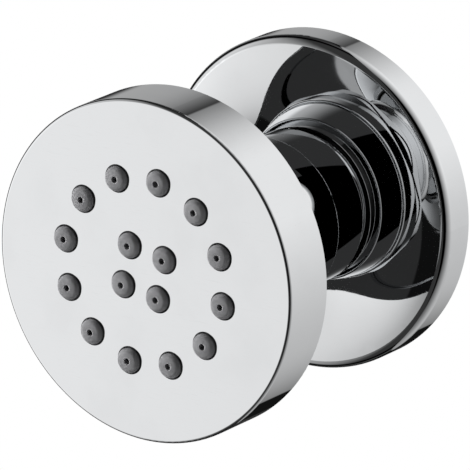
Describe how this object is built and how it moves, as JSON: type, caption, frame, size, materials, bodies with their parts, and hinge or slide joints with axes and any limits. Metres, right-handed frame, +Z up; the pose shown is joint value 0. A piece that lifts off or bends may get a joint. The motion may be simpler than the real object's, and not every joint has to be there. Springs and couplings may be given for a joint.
{
  "type": "shower body jet",
  "caption": "Wall-mounted shower body jet: round chrome spray head with soft nozzles on a ball joint, held by a spanner nut on a threaded socket body with a round wall flange.",
  "frame": {"origin": "centre of the inlet thread on the wall plane, which is the back face of the wall flange and its gasket", "axes": "+Y into the wall along the inlet thread, the jet sprays along -Y, +Z up, +X to the right seen from the front"},
  "size_m": [0.052, 0.0622, 0.052],
  "materials": {
    "chrome_plate": "mirror-polished chrome plate on brass",
    "silicone_grey": "matt silicone rubber",
    "rubber_black": "matt rubber",
    "foam_grey": "closed-cell foam",
    "acetal_white": "turned acetal",
    "plastic_green": "moulded plastic",
    "plastic_black": "moulded plastic",
    "stainless": "plain stainless steel"
  },
  "bodies": {
    "wall_mount": {"wall_flange": "chrome_plate", "wall_gasket": "foam_grey", "flange_grip_ring": "rubber_black", "socket_body": "chrome_plate", "flow_restrictor": "plastic_green", "restrictor_seal": "rubber_black", "filter_screen": "stainless", "seat_seal": "rubber_black", "rear_seat": "acetal_white", "retaining_nut": "chrome_plate"},
    "friction_ring": {"front_seat": "acetal_white"},
    "ball_stem": {"swivel_ball": "chrome_plate"},
    "spray_head": {"stem_washer": "rubber_black", "back_plate": "chrome_plate", "back_plate_seal": "rubber_black", "head_shell": "chrome_plate", "nozzle_mat": "silicone_grey", "distributor_plate": "plastic_black", "distributor_screws": "stainless"}
  },
  "joints": [
    {"name": "lean_direction", "type": "hinge", "parent": "wall_mount", "child": "friction_ring", "pos_m": [0, -0.0205, 0], "axis": [0, -1, 0], "continuous": true},
    {"name": "head_lean", "type": "hinge", "parent": "friction_ring", "child": "ball_stem", "pos_m": [0, -0.0205, 0], "axis": [1, 0, 0], "range_deg": [-20, 20]},
    {"name": "head_spin", "type": "hinge", "parent": "ball_stem", "child": "spray_head", "pos_m": [0, -0.0205, 0], "axis": [0, -1, 0], "continuous": true}
  ]
}
